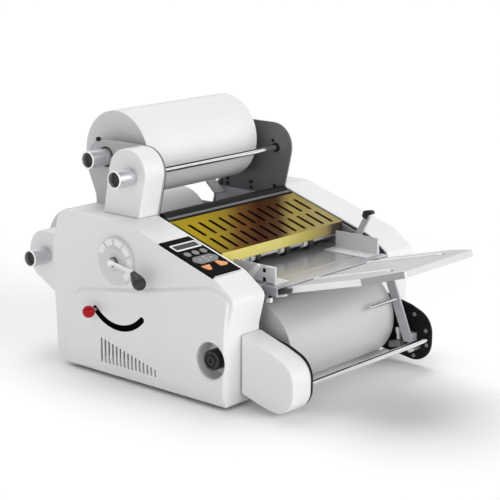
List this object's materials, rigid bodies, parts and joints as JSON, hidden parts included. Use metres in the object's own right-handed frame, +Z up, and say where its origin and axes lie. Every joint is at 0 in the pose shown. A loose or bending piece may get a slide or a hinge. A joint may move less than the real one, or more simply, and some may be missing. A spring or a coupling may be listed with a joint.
{
  "type": "roll laminator",
  "caption": "Desktop roll laminator with film rolls above, below and behind, white side covers, a slotted gold heat guard, a feed table with paper guides and a hinged feed extension.",
  "frame": {"origin": "on the bench, under the middle of the whole machine's box", "axes": "+X across the machine away from the dial side, +Y from the feed side to the back, +Z up"},
  "size_m": [0.6001, 0.8746, 0.5006],
  "materials": {
    "shell_white": "smooth moulded white, satin gloss",
    "side_steel": "grey painted sheet",
    "dark_plate": "dark grey painted plate",
    "black_plate": "black painted plate",
    "light_plate": "light grey painted plate",
    "chrome_rod": "polished",
    "steel_shaft": "turned",
    "knob_metal": "turned, bright rim",
    "knob_black": "moulded black",
    "foot_rubber": "soft black",
    "film_white": "wound film, frosted white",
    "film_grey": "wound backing, grey",
    "guard_gold": "polished gold sheet",
    "bar_black": "black painted",
    "table_grey": "light grey powder coat",
    "fence_steel": "folded bright sheet",
    "strip_white": "smooth white",
    "panel_black": "printed overlay, bare",
    "window_dark": "clear window over a dark display",
    "key_grey": "moulded grey",
    "pad_black": "moulded black with pale dots",
    "key_orange": "moulded orange",
    "dial_white": "moulded white with raised tiles",
    "grip_black": "moulded black",
    "ball_red": "glossy red",
    "roller_steel": "ground",
    "roller_rubber": "red silicone",
    "roller_black": "black silicone",
    "gear_black": "moulded",
    "brass_part": "turned",
    "motor_dark": "dark can",
    "board_green": "printed board",
    "inlet_black": "moulded",
    "wheel_black": "soft black",
    "screw_black": "blackened"
  },
  "bodies": {
    "frame": {"base_plate": "side_steel", "feet": "foot_rubber", "side_plates": "side_steel", "left_cover": "shell_white", "right_cover": "shell_white", "rear_panel": "light_plate", "top_cross_bar": "bar_black", "support_rods": "chrome_rod", "upper_plates": "dark_plate", "upper_bracket_cover": "shell_white", "lower_plates": "black_plate", "lower_bracket_cover": "shell_white", "rear_plates": "light_plate", "rear_bracket_cover": "shell_white", "control_panel": "panel_black", "display_window": "window_dark", "dial_plate": "dial_white", "feed_table": "table_grey", "table_arms": "light_plate", "power_inlet": "inlet_black", "drive_motor": "motor_dark", "circuit_board": "board_green", "roller_bearings": "brass_part", "plate_screws": "screw_black"},
    "guard": {"heat_guard": "guard_gold"},
    "extension": {"feed_extension": "table_grey", "extension_strips": "strip_white"},
    "left_guide": {"left_fence": "fence_steel"},
    "right_guide": {"right_fence": "fence_steel"},
    "upper_roll": {"upper_mandrel": "steel_shaft", "upper_film": "film_white"},
    "front_guide": {"front_rod": "chrome_rod"},
    "lower_roll": {"lower_mandrel": "steel_shaft", "lower_film": "film_white"},
    "lower_guide": {"lower_rod": "chrome_rod"},
    "rear_roll": {"rear_mandrel": "steel_shaft", "rear_film": "film_grey"},
    "upper_tension": {"upper_knob": "knob_metal"},
    "front_tension": {"front_knob": "knob_metal"},
    "rear_tension": {"rear_knob": "knob_metal"},
    "lower_tension": {"lower_knob": "knob_black"},
    "hot_roller": {"heat_roller": "roller_steel", "heat_gear": "gear_black"},
    "soft_roller": {"rubber_roller": "roller_rubber"},
    "pull_top": {"pull_roller_upper": "roller_black"},
    "pull_low": {"pull_roller_lower": "roller_black"},
    "pinion": {"motor_pinion": "brass_part"},
    "press_wheel_shaft": {"press_shaft": "chrome_rod", "press_wheels": "wheel_black"},
    "crank": {"crank_arm": "chrome_rod", "crank_grip": "grip_black"},
    "curl": {"curl_lever": "steel_shaft", "curl_ball": "ball_red"},
    "menu_button": {"menu_key": "key_grey"},
    "minus_button": {"minus_key": "key_grey"},
    "plus_button": {"plus_key": "key_grey"},
    "pad_button": {"pad_key": "pad_black"},
    "run_button": {"run_key": "key_orange"},
    "stop_button": {"stop_key": "key_orange"},
    "nip": {"nip_lever": "steel_shaft"}
  },
  "joints": [
    {"name": "guard_lift", "type": "hinge", "parent": "frame", "child": "guard", "pos_m": [0.02009, 0.05752, 0.304], "axis": [-1, 0, 0], "range_deg": [0, 75]},
    {"name": "extension_fold", "type": "hinge", "parent": "frame", "child": "extension", "pos_m": [0.02009, -0.20448, 0.2105], "axis": [-1, 0, 0], "range_deg": [0, 70]},
    {"name": "left_guide_slide", "type": "slide", "parent": "frame", "child": "left_guide", "axis": [1, 0, 0], "range_m": [-0.015, 0.085]},
    {"name": "right_guide_slide", "type": "slide", "parent": "frame", "child": "right_guide", "axis": [1, 0, 0], "range_m": [-0.085, 0.015]},
    {"name": "upper_roll_spin", "type": "hinge", "parent": "frame", "child": "upper_roll", "pos_m": [0.02009, 0.22602, 0.413], "axis": [1, 0, 0], "continuous": true},
    {"name": "lower_roll_spin", "type": "hinge", "parent": "frame", "child": "lower_roll", "pos_m": [0.02009, -0.12948, 0.091], "axis": [1, 0, 0], "continuous": true},
    {"name": "rear_roll_spin", "type": "hinge", "parent": "frame", "child": "rear_roll", "pos_m": [0.02009, 0.35452, 0.204], "axis": [1, 0, 0], "continuous": true},
    {"name": "front_rod_spin", "type": "hinge", "parent": "frame", "child": "front_guide", "pos_m": [0.02009, 0.10752, 0.396], "axis": [1, 0, 0], "continuous": true},
    {"name": "lower_rod_spin", "type": "hinge", "parent": "frame", "child": "lower_guide", "pos_m": [0.02009, -0.28448, 0.0566], "axis": [1, 0, 0], "continuous": true},
    {"name": "upper_knob_turn", "type": "hinge", "parent": "frame", "child": "upper_tension", "pos_m": [0.02009, 0.22602, 0.413], "axis": [1, 0, 0], "range_deg": [-150, 150]},
    {"name": "front_knob_turn", "type": "hinge", "parent": "frame", "child": "front_tension", "pos_m": [0.02009, 0.10752, 0.396], "axis": [1, 0, 0], "range_deg": [-150, 150]},
    {"name": "rear_knob_turn", "type": "hinge", "parent": "frame", "child": "rear_tension", "pos_m": [0.02009, 0.35452, 0.204], "axis": [1, 0, 0], "range_deg": [-150, 150]},
    {"name": "lower_knob_turn", "type": "hinge", "parent": "frame", "child": "lower_tension", "pos_m": [0.02009, -0.12948, 0.091], "axis": [1, 0, 0], "range_deg": [-150, 150]},
    {"name": "hot_roller_spin", "type": "hinge", "parent": "frame", "child": "hot_roller", "pos_m": [0.02009, 0.00752, 0.25125], "axis": [1, 0, 0], "continuous": true},
    {"name": "soft_roller_spin", "type": "hinge", "parent": "frame", "child": "soft_roller", "pos_m": [0.02009, 0.00752, 0.19125], "axis": [1, 0, 0], "continuous": true},
    {"name": "pull_top_spin", "type": "hinge", "parent": "frame", "child": "pull_top", "pos_m": [0.02009, 0.14752, 0.24575], "axis": [1, 0, 0], "continuous": true},
    {"name": "pull_low_spin", "type": "hinge", "parent": "frame", "child": "pull_low", "pos_m": [0.02009, 0.14752, 0.19825], "axis": [1, 0, 0], "continuous": true},
    {"name": "pinion_spin", "type": "hinge", "parent": "frame", "child": "pinion", "pos_m": [0.02009, 0.04298, 0.22355], "axis": [1, 0, 0], "continuous": true},
    {"name": "press_wheel_spin", "type": "hinge", "parent": "frame", "child": "press_wheel_shaft", "pos_m": [0.02009, -0.05648, 0.237], "axis": [1, 0, 0], "continuous": true},
    {"name": "crank_turn", "type": "hinge", "parent": "frame", "child": "crank", "pos_m": [0.02009, 0.11052, 0.238], "axis": [1, 0, 0], "range_deg": [-160, 12]},
    {"name": "curl_swing", "type": "hinge", "parent": "frame", "child": "curl", "pos_m": [0.02009, 0.10652, 0.196], "axis": [-1, 0, 0], "range_deg": [0, 88]},
    {"name": "menu_press", "type": "slide", "parent": "frame", "child": "menu_button", "axis": [0, 0.2973, -0.9548], "range_m": [0, 0.0006], "stiffness_N_per_m": 900},
    {"name": "minus_press", "type": "slide", "parent": "frame", "child": "minus_button", "axis": [0, 0.2973, -0.9548], "range_m": [0, 0.0006], "stiffness_N_per_m": 900},
    {"name": "plus_press", "type": "slide", "parent": "frame", "child": "plus_button", "axis": [0, 0.2973, -0.9548], "range_m": [0, 0.0006], "stiffness_N_per_m": 900},
    {"name": "pad_press", "type": "slide", "parent": "frame", "child": "pad_button", "axis": [0, 0.2973, -0.9548], "range_m": [0, 0.0006], "stiffness_N_per_m": 900},
    {"name": "run_press", "type": "slide", "parent": "frame", "child": "run_button", "axis": [0, 0.2973, -0.9548], "range_m": [0, 0.0006], "stiffness_N_per_m": 900},
    {"name": "stop_press", "type": "slide", "parent": "frame", "child": "stop_button", "axis": [0, 0.2973, -0.9548], "range_m": [0, 0.0006], "stiffness_N_per_m": 900},
    {"name": "nip_turn", "type": "hinge", "parent": "frame", "child": "nip", "pos_m": [0.02009, -0.11048, 0.236], "axis": [1, 0, 0], "range_deg": [-24, 6]}
  ],
  "couplings": [
    {"joint": "soft_roller_spin", "follows": "hot_roller_spin", "ratio": -0.95082},
    {"joint": "pull_top_spin", "follows": "hot_roller_spin", "ratio": 1.234},
    {"joint": "pull_low_spin", "follows": "hot_roller_spin", "ratio": -1.234},
    {"joint": "pinion_spin", "follows": "hot_roller_spin", "ratio": -2}
  ]
}
